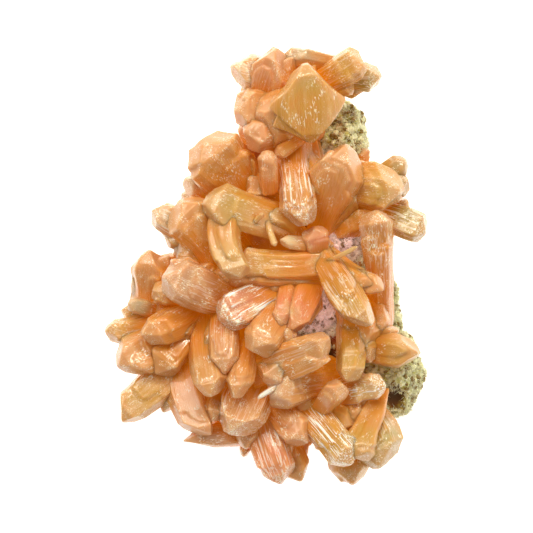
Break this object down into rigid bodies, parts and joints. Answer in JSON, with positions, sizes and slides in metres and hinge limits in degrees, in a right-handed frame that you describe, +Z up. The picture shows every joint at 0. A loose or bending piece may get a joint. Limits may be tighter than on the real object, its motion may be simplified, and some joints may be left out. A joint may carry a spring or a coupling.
{
  "type": "stilbite with mordenite mineral specimen",
  "caption": "Mineral specimen: fanned, blade-shaped stilbite crystals on a lumpy matrix crusted with mordenite.",
  "frame": {"origin": "on the flat broken back that the specimen lies on, under the middle of its bounding box", "axes": "+Z up, out of the crystal-covered face; +Y along the specimen's length, towards its narrow crown; +X across it, to the picture's right"},
  "size_m": [0.0805, 0.1099, 0.0411],
  "materials": {
    "peach_stilbite": "waxy, pearly peach-orange crystal with fine lengthwise striae",
    "honey_stilbite": "waxy, translucent honey-yellow crystal",
    "coral_stilbite": "glassy coral-pink crystal with silky white striae",
    "mordenite_crust": "rough, fuzzy lime-cream crust with pinkish needles"
  },
  "bodies": {
    "root": {"mordenite_matrix": "mordenite_crust", "stilbite_arch": "honey_stilbite", "stilbite_centre_arms": "peach_stilbite", "stilbite_hanging_blade": "peach_stilbite", "stilbite_crown": "peach_stilbite", "stilbite_upper_right_fan": "peach_stilbite", "stilbite_right_blade": "honey_stilbite", "stilbite_left_log": "coral_stilbite", "stilbite_left_shield": "peach_stilbite", "stilbite_upper_left_fan": "peach_stilbite", "stilbite_coral_sheaf": "coral_stilbite", "stilbite_centre_blade": "peach_stilbite", "stilbite_lower_left_fan": "peach_stilbite", "stilbite_left_rosette": "peach_stilbite", "stilbite_right_pair": "honey_stilbite", "stilbite_lower_boss": "peach_stilbite", "stilbite_lower_right_fan": "honey_stilbite", "stilbite_bottom_pair": "peach_stilbite", "rim_sheaf_1": "peach_stilbite", "rim_sheaf_2": "peach_stilbite", "rim_sheaf_3": "peach_stilbite", "rim_sheaf_4": "peach_stilbite", "rim_sheaf_5": "peach_stilbite", "rim_sheaf_6": "peach_stilbite", "rim_sheaf_7": "peach_stilbite", "rim_sheaf_8": "peach_stilbite", "rim_sheaf_9": "peach_stilbite", "rim_sheaf_10": "peach_stilbite", "rim_sheaf_11": "peach_stilbite", "rim_sheaf_12": "peach_stilbite"}
  },
  "joints": []
}
